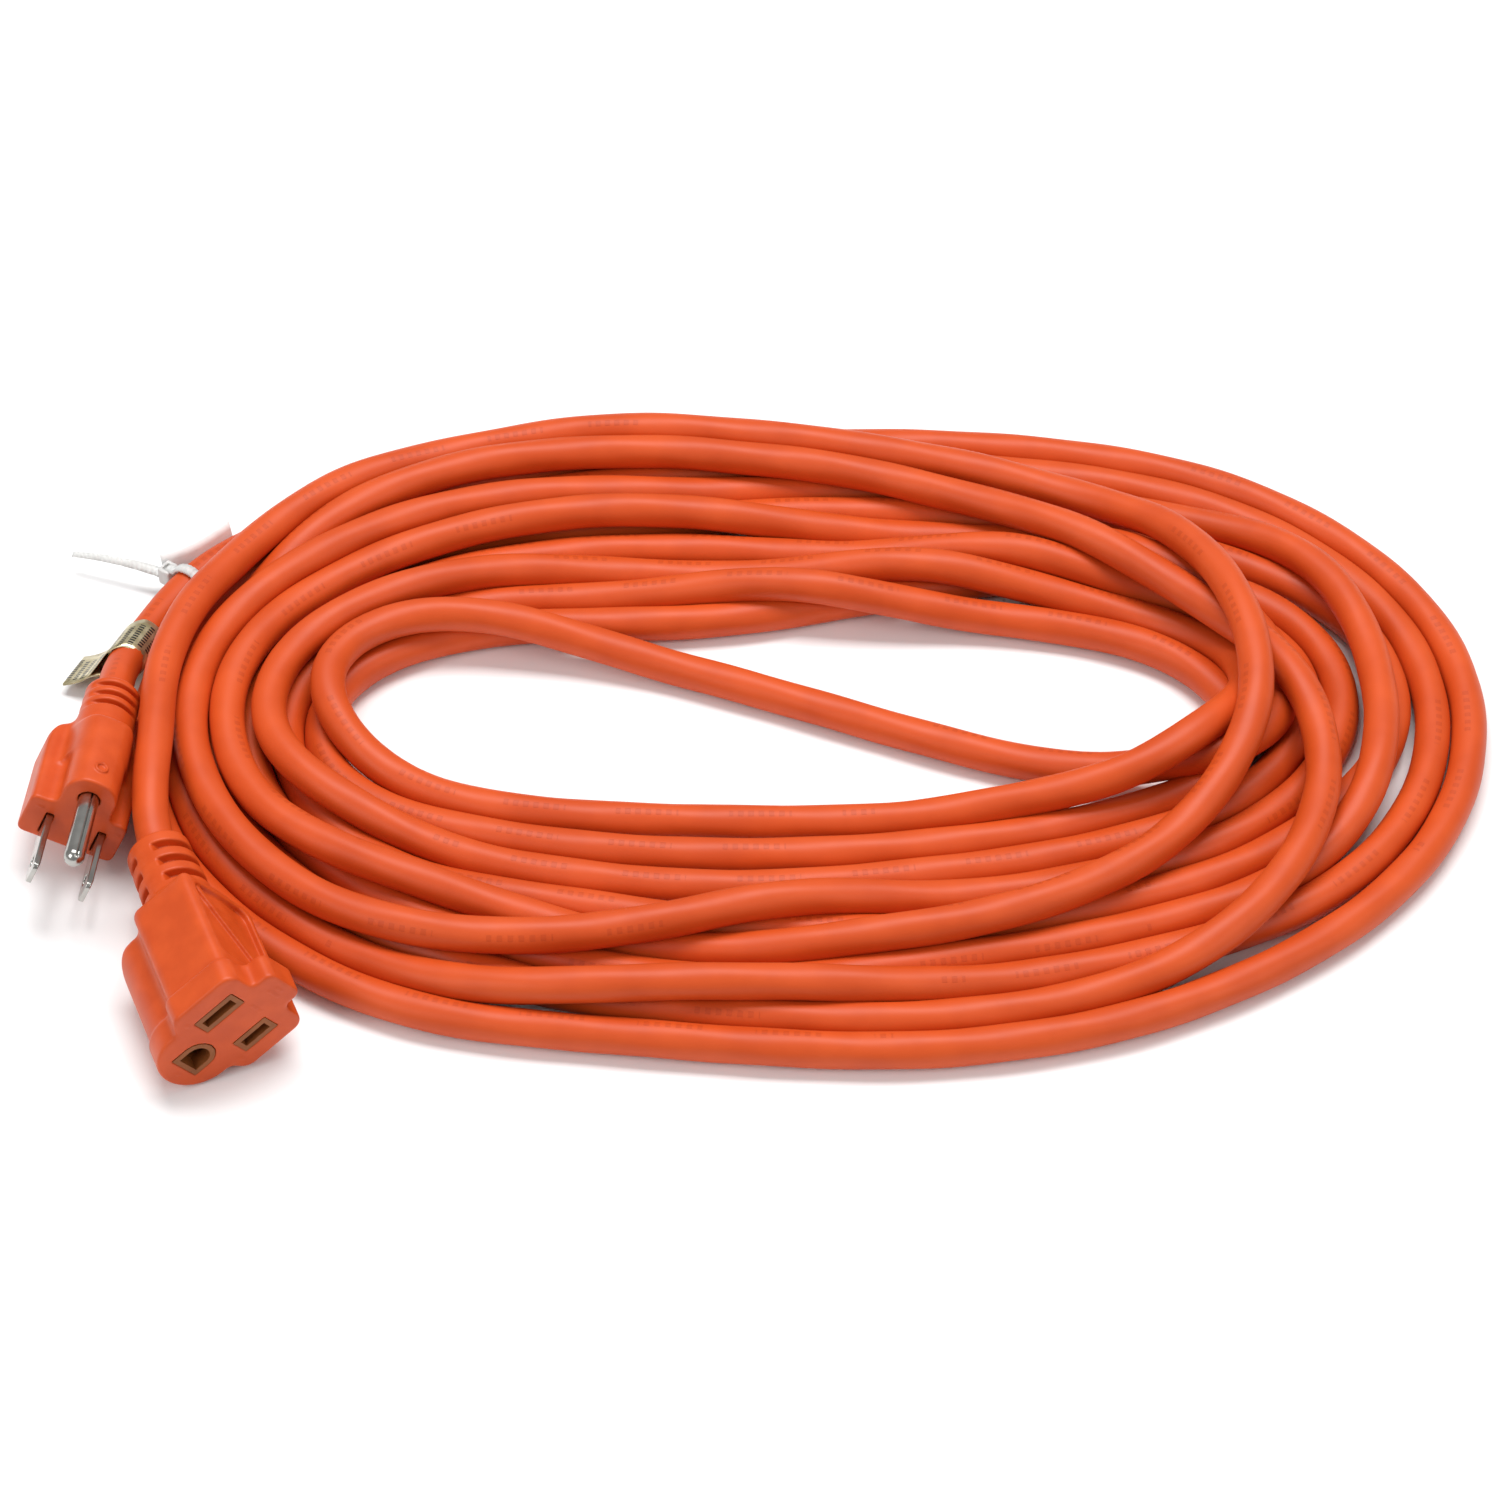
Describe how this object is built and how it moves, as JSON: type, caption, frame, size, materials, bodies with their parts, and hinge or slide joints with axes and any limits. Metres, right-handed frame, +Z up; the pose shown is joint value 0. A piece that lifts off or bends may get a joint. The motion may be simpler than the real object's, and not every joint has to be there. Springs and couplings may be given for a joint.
{
  "type": "extension cord",
  "caption": "Orange three-wire extension cord wound in a flat oval coil, with a moulded grounded plug and a moulded grounded connector lying at its left end.",
  "frame": {"origin": "on the ground under the middle of the whole object", "axes": "+X along the coil's long axis, away from the plug and connector, which lie at its -X end and face the front (-Y). +Z is up."},
  "size_m": [0.3448, 0.208, 0.0317],
  "materials": {
    "vinyl": "semi-gloss moulded and extruded orange vinyl",
    "nickel": "bright nickel-plated brass",
    "brass": "plain spring brass",
    "copper": "bare stranded copper",
    "insert": "tan moulded insulating plastic",
    "bridge": "off-white hard plastic",
    "black": "black conductor insulation",
    "white": "white conductor insulation",
    "green": "green conductor insulation",
    "foil": null,
    "nylon": "natural translucent nylon",
    "paper": "thin white paper"
  },
  "bodies": {
    "root": {"plug_body": "vinyl", "plug_bridge": "bridge", "plug_line_blade": "nickel", "plug_neutral_blade": "nickel", "plug_ground_pin": "nickel", "connector_body": "vinyl", "connector_insert": "insert", "connector_line_contact": "brass", "connector_neutral_contact": "brass", "connector_ground_contact": "brass", "plug_lead_jacket": "vinyl", "connector_lead_jacket": "vinyl", "cord_coil": "vinyl", "rating_label": "foil", "cable_tie": "nylon", "paper_tag": "paper", "plug_line_wire": "copper", "plug_line_insulation": "black", "plug_neutral_wire": "copper", "plug_neutral_insulation": "white", "plug_ground_wire": "copper", "plug_ground_insulation": "green", "connector_line_wire": "copper", "connector_line_insulation": "black", "connector_neutral_wire": "copper", "connector_neutral_insulation": "white", "connector_ground_wire": "copper", "connector_ground_insulation": "green"}
  },
  "joints": []
}
